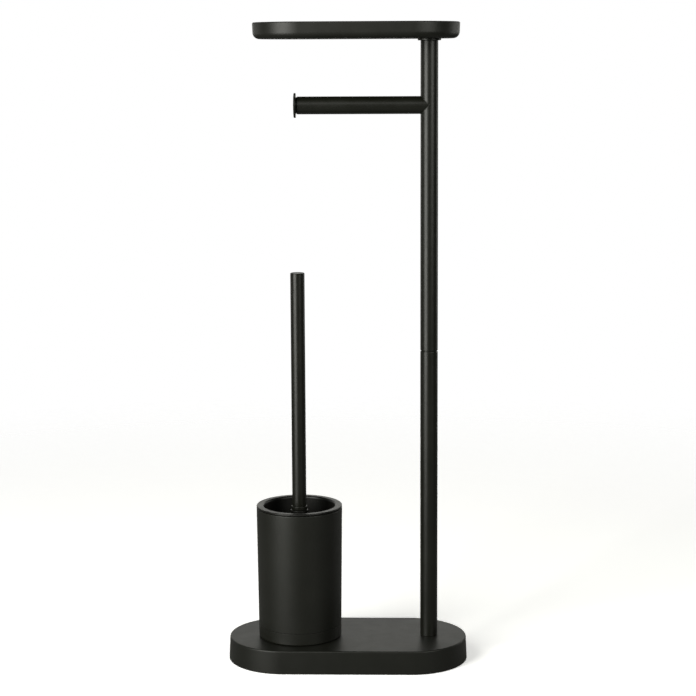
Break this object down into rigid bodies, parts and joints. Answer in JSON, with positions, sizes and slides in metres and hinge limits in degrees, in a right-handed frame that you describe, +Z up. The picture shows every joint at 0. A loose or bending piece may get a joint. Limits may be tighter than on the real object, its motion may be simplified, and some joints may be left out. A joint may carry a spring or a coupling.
{
  "type": "toilet paper holder",
  "caption": "Free-standing toilet paper holder with a roll arm and tray shelf on a pole, and a toilet brush in a lift-out holder on its weighted base.",
  "frame": {"origin": "on the floor, under the centre of the base", "axes": "+X towards the pole's side of the base, -X towards the brush, -Y to the front, +Z up"},
  "size_m": [0.2648, 0.1268, 0.7],
  "materials": {
    "powder_coat": "matte",
    "moulded_black": "matte",
    "liner_black": "satin",
    "bristle": "satin",
    "rubber": "matte",
    "zinc": "satin",
    "concrete": "rough"
  },
  "bodies": {
    "stand": {"base_cover": "moulded_black", "base_plate": "moulded_black", "ballast_block": "concrete", "bolt_access_cap": "moulded_black", "rubber_foot_1": "rubber", "rubber_foot_2": "rubber", "rubber_foot_3": "rubber", "rubber_foot_4": "rubber", "plate_screw_1": "zinc", "plate_screw_2": "zinc", "plate_screw_3": "zinc", "plate_screw_4": "zinc", "plate_screw_5": "zinc", "plate_screw_6": "zinc", "pole_bolt": "zinc", "pole_washer": "zinc", "lower_tube": "powder_coat", "lower_foot_insert": "zinc", "lower_top_insert": "zinc", "joint_stud": "zinc", "upper_tube": "powder_coat", "upper_foot_insert": "zinc", "upper_top_insert": "zinc", "shelf_flange": "powder_coat", "roll_arm_tube": "powder_coat", "roll_arm_cap": "powder_coat", "shelf_tray": "moulded_black", "shelf_screw": "zinc", "shelf_screw_cap": "moulded_black"},
    "holder": {"holder_tumbler": "moulded_black", "holder_foot": "moulded_black", "holder_grip_ring": "rubber"},
    "liner": {"liner_cup": "liner_black"},
    "brush": {"brush_handle_tube": "powder_coat", "brush_handle_plug": "powder_coat", "brush_handle_insert": "zinc", "brush_ferrule": "powder_coat", "brush_core": "liner_black", "brush_bristles": "bristle"}
  },
  "joints": [
    {"name": "holder_draw", "type": "slide", "parent": "stand", "child": "holder", "axis": [0, -1, 0], "range_m": [0, 0.055]},
    {"name": "liner_lift", "type": "slide", "parent": "holder", "child": "liner", "axis": [0, 0, 1], "range_m": [0, 0.02]},
    {"name": "brush_lift", "type": "slide", "parent": "liner", "child": "brush", "axis": [0, 0, 1], "range_m": [0, 0.14]}
  ]
}
